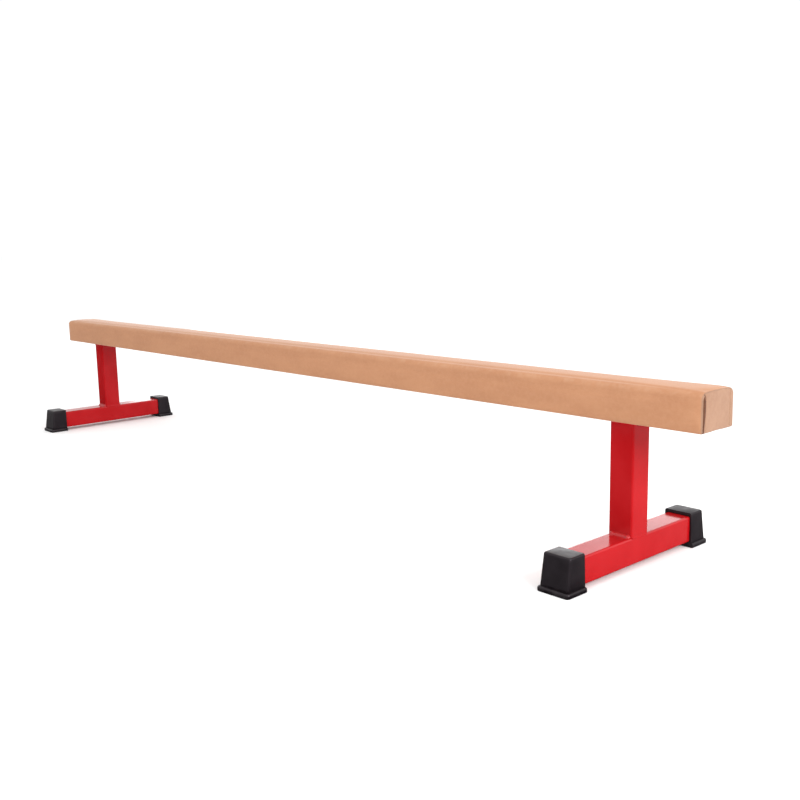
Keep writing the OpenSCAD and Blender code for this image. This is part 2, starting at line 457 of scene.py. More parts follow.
def wood_finish():
    """Sawn softwood: long grain along the beam, darker growth rings, fine pores."""
    f = Finish("core_wood", IOR=1.4)
    rings = f.noise(9, 4, 0.55, at=f.stretched(0.25, 9, 6), distortion=0.6)
    grain = f.noise(60, 5, 0.7, at=f.stretched(0.12, 6, 6))
    tone = f.blend(f.mapped(rings, 0.35, 0.65), (0.60, 0.40, 0.21), (0.42, 0.235, 0.105))
    tone = f.blend(f.mapped(grain, 0.4, 0.8, 0, 0.5), tone, (0.30, 0.16, 0.07))
    return f.finished(tone, f.mapped(grain, 0.3, 0.7, 0.55, 0.8), (grain, 0.4, 0.0004))


def foam_finish():
    """Cream closed-cell foam with open cut cells."""
    f = Finish("foam", IOR=1.3, Subsurface_Weight=0.1)
    cells = f.cells(750)
    cloud = f.noise(30, 3, 0.5)
    tone = f.blend(f.mapped(cloud), (0.70, 0.65, 0.50), (0.78, 0.73, 0.60))
    # Painted shade: darker towards the middle of each cut cell, where its hollow lies.
    tone = f.blend(f.mapped(cells, 0.5, 0.1, 0, 0.4), tone, (0.50, 0.44, 0.31))
    return f.finished(tone, f.mapped(cloud, 0.3, 0.7, 0.85, 0.98), (cells, 0.6, 0.0005))


def metal_finish(name, dark, light, low, high):
    """Bare metal with fine drawn lines along the part and cloudy tarnish."""
    f = Finish(name, Metallic=1.0)
    drawn = f.noise(700, 3, 0.6, at=f.stretched(0.15, 1, 1))
    cloud = f.noise(120, 4, 0.6)
    tone = f.blend(f.mapped(cloud), dark, light)
    return f.finished(tone, f.mapped(drawn, 0.3, 0.7, low, high), (drawn, 0.2, 0.0001))


SUEDE_TONES = (0.446, 0.211, 0.110), (0.490, 0.240, 0.128), (0.530, 0.277, 0.158)
# Tones of the ends' suede, darker and greyer than the sides: painted shade that offsets the strong key light
# on the ends.
END_SHADE_TONES = (0.298, 0.171, 0.112), (0.335, 0.199, 0.133), (0.375, 0.235, 0.165)
SUEDE = suede_finish("suede", SUEDE_TONES, END_SHADE_TONES)
END_SHADED_SUEDE = suede_finish("end_shaded_suede", END_SHADE_TONES)
# Dark brown of the front seams' piping: partly its own colour, partly painted shade standing in for the shade
# of the open seam.
WELT_AND_SEAM_SHADE_TONES = (0.085, 0.030, 0.014), (0.150, 0.058, 0.028)
THREAD_TONES = (0.33, 0.155, 0.08), (0.47, 0.25, 0.14)
WELT_AND_SEAM_SHADE = cord_finish(
    "welt_and_seam_shade", (420, 3, 0.6), 2.4, WELT_AND_SEAM_SHADE_TONES, (0.7, 0.92), 0.0004, Sheen_Weight=0.15, IOR=1.35
)
THREAD = cord_finish(
    "thread", (1800, 2, 0.5), 0.6, THREAD_TONES, (0.55, 0.75), 0.0002, Sheen_Weight=0.2, IOR=1.4
)
PAINT = paint_finish()
RUBBER = rubber_finish()
LINING = lining_finish()
WOOD = wood_finish()
FOAM = foam_finish()
STEEL = metal_finish("staple_steel", (0.42, 0.42, 0.43), (0.60, 0.60, 0.61), 0.25, 0.42)
SCREW = metal_finish("screw_steel", (0.30, 0.30, 0.31), (0.50, 0.50, 0.50), 0.28, 0.45)
BRASS = metal_finish("insert_brass", (0.55, 0.38, 0.14), (0.72, 0.52, 0.22), 0.25, 0.4)

NODE_FINISH = {
    WOOD: ("core_stave_front", "core_stave_middle", "core_stave_rear"),
    STEEL: ("cover_staples",),
    PAINT: [f"{side}_{part}" for side, _ in SIDES for part in ("mount_plate", "post", "base_tube")],
    BRASS: [f"{side}_threaded_inserts" for side, _ in SIDES],
}
for finish, names in NODE_FINISH.items():
    for name in names:
        frame["nodes"][name].material_slots[0].material = finish


# ---------- cover ----------


def half_width_lines(fold):
    """Grid lines from the middle out to one side, whose seam is at the fold."""
    half_w = COVER_HI.y
    strip_edge = STRIP_HI.y
    beside = [d * MM for d in (0.5, 1.2, 2.0, 2.8, 4.2, 6)]
    seam = [fold]
    seam.extend(fold - d for d in beside)
    seam.extend(fold + d for d in beside[:4])
    seam = [y for y in seam if y < half_w - 0.5 * MM]
    edge = [half_w - d * MM for d in (0, 1.1, 2.2, 3.3, 4.4, 6, 7.2, 8.4, 9.5, 10.6)]
    edge = [y for y in edge if min(abs(y - other) for other in seam) > 0.4 * MM]
    return merged(
        edge,
        seam,
        spread(strip_edge + 3 * MM, min(seam + edge) - 2 * MM, 4 * MM),
        [strip_edge + d * MM for d in (0, 0.6, 1.4)],
        spread(0, strip_edge, 5 * MM),
    )


def cover_grid():
    """The places of the cover's grid points, close together where it bends, folds or is sewn."""
    half_l = COVER_HI.x
    near_end = [d * MM for d in (0, 0.7, 1.5, 2.5, 4, 6.5, 10, 15, 22, 32)]
    xs = merged(
        [half_l - d for d in near_end],
        [d - half_l for d in near_end],
        spread(-half_l + near_end[-1], half_l - near_end[-1], ROW),
    )
    ys = merged(half_width_lines(FOLD[1]), [-y for y in half_width_lines(FOLD[-1])])
    zs = merged(
        [COVER_LO.z + d * MM for d in (0, 0.7, 1.4, 2.2, 3.1, 4, 7)],
        spread(COVER_LO.z + 7 * MM, COVER_HI.z - TOP_R, 5.5 * MM),
        spread(COVER_HI.z - TOP_R, COVER_HI.z, 1.2 * MM),
    )
    keys, faces = box_lattice(xs, ys, zs)
    return [(xs[i], ys[j], zs[k]) for i, j, k in keys], faces


def on_end(place):
    return COVER_HI.x - abs(place[0]) < SAME


def on_underside(place):
    return place[2] - COVER_LO.z < SAME


def side_of(value):
    return 1 if value > 0 else -1


def surface_normals(points, faces):
    normals = [Vector() for _ in points]
    for face in faces:
        a, b, c, d = (points[i] for i in face)
        across = (c - a).cross(d - b)
        for i in face:
            normals[i] += across
    return [n.normalized() for n in normals]


def filled_out(points, faces, hold):
    normals = surface_normals(points, faces)
    form = new_object("cover_form", points, faces)
    group = form.vertex_groups.new(name="held")
    for i, weight in enumerate(hold):
        if weight > 0:
            group.add([i], weight, "REPLACE")
    cloth = form.modifiers.new("Cloth", "CLOTH")
    for setting, value in CLOTH.items():
        setattr(cloth.settings, setting, value)
    cloth.settings.effector_weights.gravity = 0
    cloth.collision_settings.use_collision = False
    for number in range(1, SIM_FRAMES + 1):
        bpy.context.scene.frame_set(number)
    graph = bpy.context.evaluated_depsgraph_get()
    pushed = form.evaluated_get(graph).to_mesh()
    moves = [pushed.vertices[i].co - points[i] for i in range(len(points))]
    bpy.context.scene.frame_set(1)
    bpy.data.objects.remove(form)
    out = []
    for move, normal in zip(moves, normals):
        move = move.normalized() * SWELL * math.tanh(move.length / SWELL)
        sunk = -move.dot(normal) - SINK
        out.append(move + normal * sunk if sunk > 0 else move)
    return out


def lip(distance, width, depth):
    """How far a turned edge drops at a distance from its fold, as a quarter round."""
    if distance >= width:
        return 0.0
    return depth * (1 - math.sqrt(max(0.0, 1 - (1 - distance / width) ** 2)))


def seam_opening(point):
    """Share of its full width that an end seam has at a point: it closes towards the top edge."""
    return 0.12 + 0.88 * smoothstep((COVER_HI.z - CROWN - point.z) / SEAM_CLOSING)


def shell_piece(name, points, normals, faces, thickness, finish, slot, node):
    """A skin with its outside at the points given and its inside a thickness below."""
    used = sorted({i for face in faces for i in face})
    place = {i: n for n, i in enumerate(used)}
    local = [tuple(place[i] for i in face) for face in faces]
    outer = [points[i] for i in used]
    inner = [points[i] - normals[i] * thickness for i in used]
    count = len(used)
    edges = {}
    for face in local:
        for a, b in zip(face, face[1:] + face[:1]):
            edges[(a, b)] = True
    rim = [(b, a, a + count, b + count) for a, b in edges if (b, a) not in edges]
    inside = [tuple(count + i for i in reversed(face)) for face in local]
    return add_piece(name, outer + inner, local + inside + rim, finish, slot, node, sharp=60)


def cut_form(places):
    """The cover's outside as it is cut, a little smaller than the padded beam, with the crown of its top."""
    lo = COVER_LO + Vector((SLACK, SLACK, 0))
    hi = COVER_HI - Vector((SLACK, SLACK, SLACK))
    scale = Vector(((hi.x - lo.x) / (COVER_HI.x - COVER_LO.x), (hi.y - lo.y) / (COVER_HI.y - COVER_LO.y)))
    depth_scale = (hi.z - lo.z) / (COVER_HI.z - COVER_LO.z)
    out = []
    for x, y, z in places:
        flat = Vector((x * scale.x, y * scale.y, lo.z + (z - COVER_LO.z) * depth_scale))
        point = rounded(flat, lo, hi, TOP_R - SLACK, BOTTOM_R, END_R)
        point.z -= crown_drop(point)
        out.append(point)
    return out


def hold_at(place):
    """How firmly a place is held: by the staples under the beam, and by the seams on its ends."""
    y = place[1]
    if on_underside(place):
        return 1.0 - 0.5 * smoothstep((abs(y) - STAPLED_Y) / STAPLED_EASE)
    if on_end(place):
        return SEAM_HOLD * (1 - smoothstep(abs(abs(y) - FOLD[side_of(y)]) / SEAM_HOLD_EASE))
    return 0.0


def padded_surface(places, faces):
    """The cover's filled-out surface with the unevenness of its padding, and the way out at each point."""
    form = cut_form(places)
    moves = filled_out(form, faces, [hold_at(place) for place in places])
    filled, drifts = [], []
    for place, start, move in zip(places, form, moves):
        point = start + move
        slow = noise.noise(Vector((point.x * 7, point.y * 16, point.z * 16)))
        fine = noise.noise(Vector((point.x * 24 + 9, point.y * 34, point.z * 34)))
        drift = WAVE_H * slow + RIPPLE_H * fine
        if on_underside(place):
            drift = min(drift, 0.0) * 0.5
            point.z = max(point.z, COVER_LO.z)
        filled.append(point)
        drifts.append(drift)
    normals = surface_normals(filled, faces)
    return [p + normal * drift for p, normal, drift in zip(filled, normals, drifts)], normals


def sleeve_point(place, point, inward):
    """A point of the sleeve: its edges turn in along the seams, the ends and the closing strip."""
    x, y, z = place
    half = side_of(y)
    fold = FOLD[half]
    lip_w, lip_depth, gap = SEAM_FORM[half]
    gap *= seam_opening(point)
    out = point.copy()
    if on_end(place) and abs(y) >= fold - SAME:
        away = abs(y) - fold
        out += inward * lip(away, lip_w, lip_depth)
        out.y += half * gap * (1 - smoothstep(away / (COVER_HI.y - fold)))
    elif abs(y) < fold:
        from_end = COVER_HI.x - abs(x)
        from_edge = min(z - COVER_LO.z, COVER_HI.z - z)
        if from_edge < SAME and from_end < EDGE_LIP_W:
            out += inward * lip(from_end, EDGE_LIP_W, EDGE_LIP_DEPTH)
    from_strip = abs(y) - STRIP_HI.y
    if on_underside(place) and from_strip > -SAME:
        out.z += lip(from_strip, HEM_W, HEM_DEPTH)
    return out


def panel_point(place, point, inward):
    """A point of an end panel: its edges turn in along the seams, the top and the bottom."""
    _, y, z = place
    half = side_of(y)
    lip_w, lip_depth, gap = SEAM_FORM[half]
    gap *= seam_opening(point)
    out = point.copy()
    away = FOLD[half] - abs(y)
    if on_end(place) and away > -SAME:
        out += inward * lip(away, lip_w, lip_depth)
        out.y -= half * gap * (1 - smoothstep(away / SEAM_EASE))
        from_edge = min(z - COVER_LO.z, COVER_HI.z - z)
        out += inward * lip(from_edge, EDGE_LIP_W, EDGE_LIP_DEPTH)
    return out


def make_cover():
    """The sleeve with its folded ends, and a panel sewn into each end. Returns each end's front seam."""
    places, faces = cover_grid()
    surface, normals = padded_surface(places, faces)
    sleeve, panels = [], {1: [], -1: []}
    for face in faces:
        corners = [places[v] for v in face]
        if all(on_end(c) and -FOLD[-1] - SAME <= c[1] <= FOLD[1] + SAME for c in corners):
            panels[side_of(corners[0][0])].append(face)
        elif not all(on_underside(c) and abs(c[1]) <= STRIP_HI.y + SAME for c in corners):
            sleeve.append(face)

    outline = list(zip(places, surface, normals))
    skin = [sleeve_point(place, point, -normal) for place, point, normal in outline]
    piece = shell_piece("suede_sleeve", skin, normals, sleeve, SUEDE_T, SUEDE, "suede", "suede_cover")
    window = [panel_point(place, point, -normal) for place, point, normal in outline]
    for side, sign in SIDES:
        name, node = f"end_panel_{side}", f"end_cover_{side}"
        # The end panels take the darker end suede: painted shade against the key light on the ends.
        piece = shell_piece(name, window, normals, panels[sign], SUEDE_T, END_SHADED_SUEDE, "suede", node)

    seams = {1: [], -1: []}
    for place, point, normal in outline:
        if on_end(place) and abs(place[1] + FOLD[-1]) < SAME:
            seams[side_of(place[0])].append((place[2], point, normal))
    return seams


front_seams = make_cover()

WELT_R_TOP = 3.3 * MM
WELT_R_LOW = 1.4 * MM
WELT_SUNK = 1.0 * MM  # how far the piping's middle lies inside the cover's surface
WELT_TAIL = Vector((3 * MM, 0, 0.8 * MM))  # how far each end of the piping is tucked in and past the seam
STITCH_PITCH = 4.4 * MM
STITCH_L = 3.0 * MM
STITCH_R = 0.36 * MM
STITCH_INSET = {-1: 5.6 * MM, 1: 3.2 * MM}  # from the front seam and the rear seam to their stitches


def make_welts():
    """Piping in the front seam of each end, thinner towards the bottom, its ends tucked under the cover."""
    for side, sign in SIDES:
        column = sorted(front_seams[sign], key=lambda row: row[0])
        line = [point - normal * WELT_SUNK for _, point, normal in column]
        line.append(line[-1] + Vector((-sign * WELT_TAIL.x, 0, -WELT_TAIL.z)))
        line.insert(0, line[0] + Vector((-sign * WELT_TAIL.x, 0, WELT_TAIL.z)))
        path, radii = [], []
        for a, b in zip(line, line[1:]):
            steps = max(1, round((b - a).length / (0.7 * MM)))
            path.extend(a.lerp(b, s / steps) for s in range(steps))
        path.append(line[-1])
        for number, point in enumerate(path):
            up = (point.z - COVER_LO.z) / (COVER_HI.z - COVER_LO.z)
            r = WELT_R_LOW + (WELT_R_TOP * seam_opening(point) - WELT_R_LOW) * smoothstep(up * 1.7)
            radii.append(r * (1 + 0.05 * math.sin(number * 1.35)))
        # The piping's very dark finish also stands in for the shade in the open seam.
        add_piece(f"seam_welt_{side}", *tube_along(path, radii, 14), WELT_AND_SEAM_SHADE, "suede")


def make_stitches():
    """A row of stitches on the end panel beside each of its two seams."""
    for side, sign in SIDES:
        panel = bpy.data.objects[f"end_panel_{side}"].data
        tree = BVHTree.FromPolygons([v.co for v in panel.vertices], [p.vertices for p in panel.polygons])
        parts = []
        for half in (-1, 1):
            y = half * (FOLD[half] - STITCH_INSET[half])
            z = COVER_LO.z + 5 * MM
            while z < COVER_HI.z - 6 * MM:
                path = []
                for share, lift in ((0, -0.6), (0.08, 0.0), (0.3, 0.28), (0.7, 0.28), (0.92, 0.0), (1, -0.6)):
                    level = z + STITCH_L * share
                    hit = tree.ray_cast(Vector((sign * 1.3, y, level)), Vector((-sign, 0, 0)))[0]
                    path.append(hit + Vector((sign * lift * MM, 0, 0)))
                parts.append(tube_along(path, [STITCH_R] * len(path), 8))
                z += STITCH_PITCH
        add_piece(f"end_stitches_{side}", *joined(parts), THREAD, "suede")


make_stitches()
make_welts()


# ---------- underside strip and padding ----------


LINING_T = 0.6 * MM
LINING_WAVE = 0.28 * MM
LINING_LIFT = 0.45 * MM  # how far its outside lies above the cover's turned-under edges


def make_strip():
    """Closing strip between the turned-under edges: thin, a little wavy, pulled flat at its edges."""
    half_w = STRIP_HI.y - 0.3 * MM
    round_from = COVER_HI.x - SLACK - END_R
    half_l = round_from + 2.8 * MM
    near_end = spread(round_from, half_l, 0.5 * MM)
    xs = merged([-x for x in near_end], near_end, spread(-round_from, round_from, 12 * MM))
    ys = spread(-half_w, half_w, 2.5 * MM)
    points = []
    for x in xs:
        for y in ys:
            edge = smoothstep((half_w - abs(y)) / (9 * MM))
            wave = noise.noise(Vector((x * 11, y * 30, 0.3)))
            past = max(0, abs(x) - round_from)
            rise = END_R - math.sqrt(END_R**2 - past**2)
            points.append(Vector((x, y, STRIP_LO.z + LINING_LIFT + LINING_WAVE * wave * edge + rise)))
    columns = len(ys)
    faces = []
    for i in range(len(xs) - 1):
        for j in range(columns - 1):
            a = i * columns + j
            faces.append((a, a + 1, a + columns + 1, a + columns))
    normals = [Vector((0, 0, -1))] * len(points)
    node = "underside_strip"
    piece = shell_piece("underside_lining", points, normals, faces, LINING_T, LINING, "lining", node)


COVER_ROOM = 1.5 * MM  # depth from the cover's outside that is left to the cover
FOAM_EASE = 1.7 * MM  # gap between that depth and a pad
FOAM_WORN = 0.25 * MM


def make_foam(name, edge_r, top_r, low_r):
    """A soft pad in the space of its CAD solid, kept clear of the cover, with worn-in faces."""
    lo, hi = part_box(name)
    room = Vector((COVER_ROOM,) * 3)
    outer_lo = Vector([max(a, b + FOAM_EASE) for a, b in zip(lo, COVER_LO + room)])
    outer_hi = Vector([min(a, b - FOAM_EASE) for a, b in zip(hi, COVER_HI - room)])
    steps = Vector((18 * MM if hi.x - lo.x > 0.1 else 1.2 * MM, 4 * MM, 4 * MM))
    axes = []
    for low, high, step in zip(outer_lo, outer_hi, steps):
        near = [r * MM for r in (0, 0.5, 1.2) if r * MM < (high - low) / 2]
        inner = [(low + high) / 2]
        if high - low > 5 * MM:
            inner = spread(low + 2 * MM, high - 2 * MM, step)
        axes.append(merged([low + r for r in near], [high - r for r in near], inner))
    keys, faces = box_lattice(*axes)
    points = []
    for i, j, k in keys:
        flat = Vector((axes[0][i], axes[1][j], axes[2][k]))
        point = rounded(flat, outer_lo, outer_hi, top_r, low_r, edge_r)
        give = noise.noise(point * 30) * FOAM_WORN
        middle = (outer_lo + outer_hi) / 2
        point += Vector((0, math.copysign(give, middle.y - point.y), -abs(give) - crown_drop(point)))
        point.z = max(point.z, lo.z)
        points.append(point)
    piece = add_piece(f"{name}_soft", points, faces, FOAM, "foam", name, sharp=80)


make_strip()
make_foam("foam_top_pad", 1 * MM, 10 * MM, 1 * MM)
for end, _ in ENDS:
    make_foam(f"foam_side_pad_{end}", 0.8 * MM, 1 * MM, 1 * MM)
for side, _ in SIDES:
    make_foam(f"foam_end_pad_{side}", 1 * MM, 11 * MM, 2 * MM)


# ---------- legs: welds and screws ----------

TUBE_R = 4 * MM  # round of the square tube's edges
SCREW_R = 4 * MM  # radius of the screws' shank
BEAD_PITCH = 2.6 * MM  # from one ripple of a weld to the next
BEAD_CONVEX = 0.45  # a bead's section: 0 is a flat fillet, 1 is a full quarter round
BEAD_SUNK = 0.3 * MM  # how far a bead's root lies inside the corner
# Section of the side beads as heights from the tube's top face and distances out from its side, in mm
SEAM_BEAD_FORM = ((-3.4, 0.0), (-2.2, 0.16), (-0.8, 0.28), (0.5, 0.22), (1.3, 0.0), (0.6, -1.4), (-1.4, -2.0))


def bead(start, end, out, up, leg, heap=0.16):
    """A rippled fillet weld along a corner, heaped at its ends: out and up are the surfaces that it joins."""
    length = (end - start).length
    along = (end - start).normalized()
    steps = round(length / (0.4 * MM))
    arc = 10
    rings = []
    for n in range(steps + 1):
        s = length * n / steps
        from_end = min(s, length - s)
        size = leg * math.sqrt(max(0.02, 1 - (1 - min(from_end / (3.2 * MM), 1)) ** 2))
        size *= 1 + heap * math.exp(-(((from_end - 5.5 * MM) / (2.6 * MM)) ** 2))
        drift = 0.05 * noise.noise(Vector((s * 260, start.x * 40, start.y * 40)))
        ring = [start + along * s - (out + up) * BEAD_SUNK]
        for m in range(arc + 1):
            turn = math.pi / 2 * m / arc
            reach = size * ((1 - BEAD_CONVEX) / (math.cos(turn) + math.sin(turn)) + BEAD_CONVEX)
            wave = s / BEAD_PITCH - 0.55 * math.sin(2 * turn)
            reach *= 1 + drift + 0.045 * math.cos(2 * math.pi * wave) * math.sin(2 * turn)
            ring.append(start + along * s + reach * (math.cos(turn) * out + math.sin(turn) * up))
        rings.append(ring)
    return solid(rings)


def seam_bead(face, sign, z, half_y):
    """Ground-down bead that fills the round of the base tube up to the post, nearly flush with both."""
    rings = []
    steps = round(2 * half_y / (0.5 * MM))
    for n in range(steps + 1):
        y = -half_y + 2 * half_y * n / steps
        fade = min(1.0, (half_y - abs(y)) / (3 * MM))
        wave = 1 + 0.35 * math.sin(2 * math.pi * y / (2.4 * MM)) * fade
        ring = []
        for dz, proud in SEAM_BEAD_FORM:
            x = face + sign * (proud * wave * fade if proud > 0 else proud) * MM
            ring.append(Vector((x, y, z + dz * MM)))
        rings.append(ring)
    return solid(rings)


def make_welds(side):
    """The foot weld round the post's foot, and the weld that holds the plate on top of it."""
    post_lo, post_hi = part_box(f"{side}_post")
    centre = (post_lo + post_hi) / 2
    tube_half = (post_hi.x - post_lo.x) / 2
    run = tube_half - TUBE_R + 1 * MM
    foot_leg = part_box(f"{side}_foot_weld")[1].z - post_lo.z
    parts = []
    for _, sign in ENDS:
        y = sign * tube_half
        start, stop = Vector((centre.x - run, y, post_lo.z)), Vector((centre.x + run, y, post_lo.z))
        parts.append(bead(start, stop, Vector((0, sign, 0)), Vector((0, 0, 1)), foot_leg, heap=0.3))
    for sign in (1, -1):
        parts.append(seam_bead(centre.x + sign * tube_half, sign, post_lo.z, run))
    add_piece(f"{side}_foot_weld_bead", *joined(parts), PAINT, "red_paint", f"{side}_foot_weld")

    plate_leg = post_hi.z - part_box(f"{side}_plate_weld")[0].z
    parts = []
    for sign in (1, -1):
        for x, y in ((0, sign), (sign, 0)):
            corner = Vector((centre.x + x * tube_half, y * tube_half, post_hi.z))
            along = Vector((abs(y) * run, abs(x) * run, 0))
            out, down = Vector((x, y, 0)), Vector((0, 0, -1))
            parts.append(bead(corner - along, corner + along, out, down, plate_leg))
    add_piece(f"{side}_plate_weld_bead", *joined(parts), PAINT, "red_paint", f"{side}_plate_weld")


def screw_mesh(x, y, z, head_r, plate_t, shank_r, tip_z):
    """Countersunk socket screw standing head down: hexagon socket, rolled thread, chamfered tip."""
    segments = 48
    socket = 2.6 * MM
    thread = 0.45 * MM
    pitch = 1.5 * MM

    def ring(radius, level, hexagon=False, thread_phase=None):
        out = []
        for n in range(segments):
            turn = 2 * math.pi * n / segments
            r = radius
            if hexagon:
                r = radius / math.cos((turn + math.pi / 6) % (math.pi / 3) - math.pi / 6)
            if thread_phase is not None:
                r = radius - thread * (0.5 + 0.5 * math.cos(turn - 2 * math.pi * thread_phase))
            out.append(Vector((x + r * math.cos(turn), y + r * math.sin(turn), level)))
        return out

    rings = [
        ring(0.3 * MM, z + 2.2 * MM, True),
        ring(socket - 0.4 * MM, z + 2.1 * MM, True),
        ring(socket, z + 1.9 * MM, True),
        ring(socket, z + 0.35 * MM, True),
        ring(socket + 0.35 * MM, z + 0.05 * MM, True),
        ring(head_r - 0.7 * MM, z + 0.05 * MM),
        ring(head_r - 0.25 * MM, z + 0.2 * MM),
        ring(shank_r, z + plate_t),
    ]
    level = z + plate_t + 1.5 * MM
    while level < tip_z - 1.6 * MM:
        rings.append(ring(shank_r, level, thread_phase=level / pitch))
        level += pitch / 6
    rings.append(ring(shank_r - thread, tip_z - 1.2 * MM))
    rings.append(ring(shank_r * 0.55, tip_z))
    return solid(rings)


def make_screws(side):
    """Four socket screws up through the plate."""
    lo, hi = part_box(f"{side}_plate_screws")
    plate_lo, plate_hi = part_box(f"{side}_mount_plate")
    plate_t = plate_hi.z - plate_lo.z
    head_r = SCREW_R + plate_t
    parts = []
    for x in (lo.x + head_r, hi.x - head_r):
        for y in (lo.y + head_r, hi.y - head_r):
            parts.append(screw_mesh(x, y, lo.z, head_r, plate_t, SCREW_R, hi.z))
    node = f"{side}_plate_screws"
    add_piece(f"{side}_socket_screws", *joined(parts), SCREW, "screw_steel", node, sharp=30)


# ---------- foot caps ----------

CAP_WALL = 4 * MM  # from the flange's edge in to the wall above it
CAP_END_SLOPE = 8 * MM  # how far the closed end and each side lean in up to the wall's top
CAP_SIDE_SLOPE = 1.5 * MM
CAP_MOUTH_R = 1 * MM
CAP_WALL_TOP = 63.6 * MM
CAP_FIT = 0.05 * MM  # play round the tube
# The sole flange as heights and how far its edge lies in, in mm
SOLE_FORM = ((0, 1.9), (0.25, 1.0), (1.0, 0.3), (2.4, 0.0), (5.2, 0.0), (7.0, 0.35), (8.2, 1.2), (8.9, 2.6))
WALL_FOOT = 9.1 * MM
# The wall above it as heights in mm and shares of its lean
WALL_FORM = ((9.8, 0.0), (14, 0.08), (24, 0.27), (36, 0.49), (48, 0.71), (58, 0.89), (63.6, 1.0))
# The cap's mouth as distances in from its face and how far it flares there, in mm
MOUTH_FORM = ((-1, 1.5), (0, 1.2), (0.8, 0.45), (1.8, 0.0))
GROOVE_FORM = ((-1.7, -1), (1.7, -1), (0.9, 1.1), (-0.9, 1.1))  # section of a tread groove in mm
GROOVE_COUNT = 5
GROOVE_FIRST = 8 * MM
GROOVE_PITCH = 8.6 * MM
GROOVE_REACH = 40 * MM  # from the cap's middle to past its side


def cap_outline(half, y0, y1, z, outer_r):
    """Level outline with round corners: the mouth at y0, the closed end at y1."""
    corners = (
        (half, y0, CAP_MOUTH_R, -90, 4),
        (half, y1, outer_r, 0, 10),
        (-half, y1, outer_r, 90, 10),
        (-half, y0, CAP_MOUTH_R, 180, 4),
    )
    out = []
    for x, y, r, start, steps in corners:
        cx = x - math.copysign(r, x)
        cy = y + r if y == y0 else y - r
        for n in range(steps + 1):
            turn = math.radians(start + 90 * n / steps)
            out.append(Vector((cx + r * math.cos(turn), cy + r * math.sin(turn), z)))
    return out


def tube_outline(half, r, y, z_mid):
    """Outline of the tube's outside, standing across Y."""
    out = []
    for quarter in range(4):
        cx = (half - r) * (1 if quarter in (0, 3) else -1)
        cz = (half - r) * (1 if quarter in (0, 1) else -1)
        for n in range(9):
            turn = math.radians(90 * quarter + 90 * n / 8)
            out.append(Vector((cx + r * math.cos(turn), y, z_mid + cz + r * math.sin(turn))))
    return out


def cap_mesh():
    """One cap about x = 0 with its mouth towards the middle: sole bead, drafted wall and soft top."""
    lo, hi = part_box("right_rear_foot_cap")
    tube_lo, tube_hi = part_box("right_base_tube")
    half = (hi.x - lo.x) / 2
    mouth, end, top = lo.y, hi.y, hi.z
    rings = []
    for z, inset in SOLE_FORM:
        inset *= MM
        rings.append(cap_outline(half - inset, mouth, end - inset, z * MM, 6 * MM - inset * 0.6))
    foot = CAP_WALL + 0.35 * MM
    rings.append(cap_outline(half - foot, mouth, end - foot, WALL_FOOT, 4.2 * MM))
    for z, share in WALL_FORM:
        inset = CAP_WALL + CAP_SIDE_SLOPE * share
        back = CAP_WALL + CAP_END_SLOPE * share
        rings.append(cap_outline(half - inset, mouth, end - back, z * MM, 4.4 * MM - share * MM))
    soft = top - CAP_WALL_TOP
    for step in (0.3, 0.55, 0.75, 0.9, 1.0):
        turn = math.pi / 2 * step
        inset = CAP_WALL + CAP_SIDE_SLOPE + soft * (1 - math.cos(turn)) * 0.9
        back = CAP_WALL + CAP_END_SLOPE + soft * (1 - math.cos(turn)) * 0.9
        z = CAP_WALL_TOP + soft * math.sin(turn)
        rings.append(cap_outline(half - inset, mouth, end - back, z, 3.4 * MM))
    body = solid(rings)

    tube_half = (tube_hi.x - tube_lo.x) / 2
    z_mid = (tube_hi.z + tube_lo.z) / 2
    cavity = []
    for depth, flare in MOUTH_FORM:
        room = CAP_FIT + flare * MM
        cavity.append(tube_outline(tube_half + room, TUBE_R + flare * MM, mouth + depth * MM, z_mid))
    cavity.append(tube_outline(tube_half + CAP_FIT, TUBE_R, tube_hi.y + CAP_FIT, z_mid))
    cutters = [solid(cavity)]
    for number in range(GROOVE_COUNT):
        y = mouth + GROOVE_FIRST + GROOVE_PITCH * number
        groove = []
        for x in (-GROOVE_REACH, GROOVE_REACH):
            groove.append([Vector((x, y + dy * MM, dz * MM)) for dy, dz in GROOVE_FORM])
        cutters.append(solid(groove))
    return body, cutters


def cut_cap():
    """The finished cap mesh, with the tube's cavity and the tread cut out."""
    body, cutters = cap_mesh()
    cap = new_object("cap_form", *body)
    tools = [new_object(f"cap_cut_{n}", *cutter) for n, cutter in enumerate(cutters)]
    for tool in tools:
        step = cap.modifiers.new(tool.name, "BOOLEAN")
        step.operation = "DIFFERENCE"
        step.solver = "EXACT"
        step.object = tool
    settle(cap)
    mesh = cap.data
    welded = bmesh.new()
    welded.from_mesh(mesh)
    bmesh.ops.remove_doubles(welded, verts=welded.verts, dist=0.03 * MM)
    bmesh.ops.dissolve_degenerate(welded, edges=welded.edges, dist=0.01 * MM)
    welded.to_mesh(mesh)
    welded.free()
    points = [v.co.copy() for v in mesh.vertices]
    faces = [tuple(p.vertices) for p in mesh.polygons]
    for tool in tools:
        bpy.data.objects.remove(tool)
    bpy.data.objects.remove(cap)
    return points, faces


def make_caps():
    """The one cap mesh on each end of both base tubes, turned over for the front ends."""
    points, faces = cut_cap()
    for side, _ in SIDES:
        box_lo, box_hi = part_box(f"{side}_base_tube")
        centre_x = (box_lo.x + box_hi.x) / 2
        for end, sign in ENDS:
            placed = [Vector((centre_x + p.x, sign * p.y, p.z)) for p in points]
            turned = faces if sign > 0 else [tuple(reversed(face)) for face in faces]
            name, node = f"{side}_{end}_rubber_foot", f"{side}_{end}_foot_cap"
            add_piece(name, placed, turned, RUBBER, "rubber", node, sharp=38)


for side, _ in SIDES:
    make_welds(side)
    make_screws(side)
make_caps()


# ---------- stage, lights and camera ----------


def level_sheet(name, half, z):
    """A square sheet lying level at a given height."""
    corners = [(-half, -half, 0), (half, -half, 0), (half, half, 0), (-half, half, 0)]
    sheet = new_object(name, corners, [(0, 1, 2, 3)])
    sheet.location.z = z
    return sheet


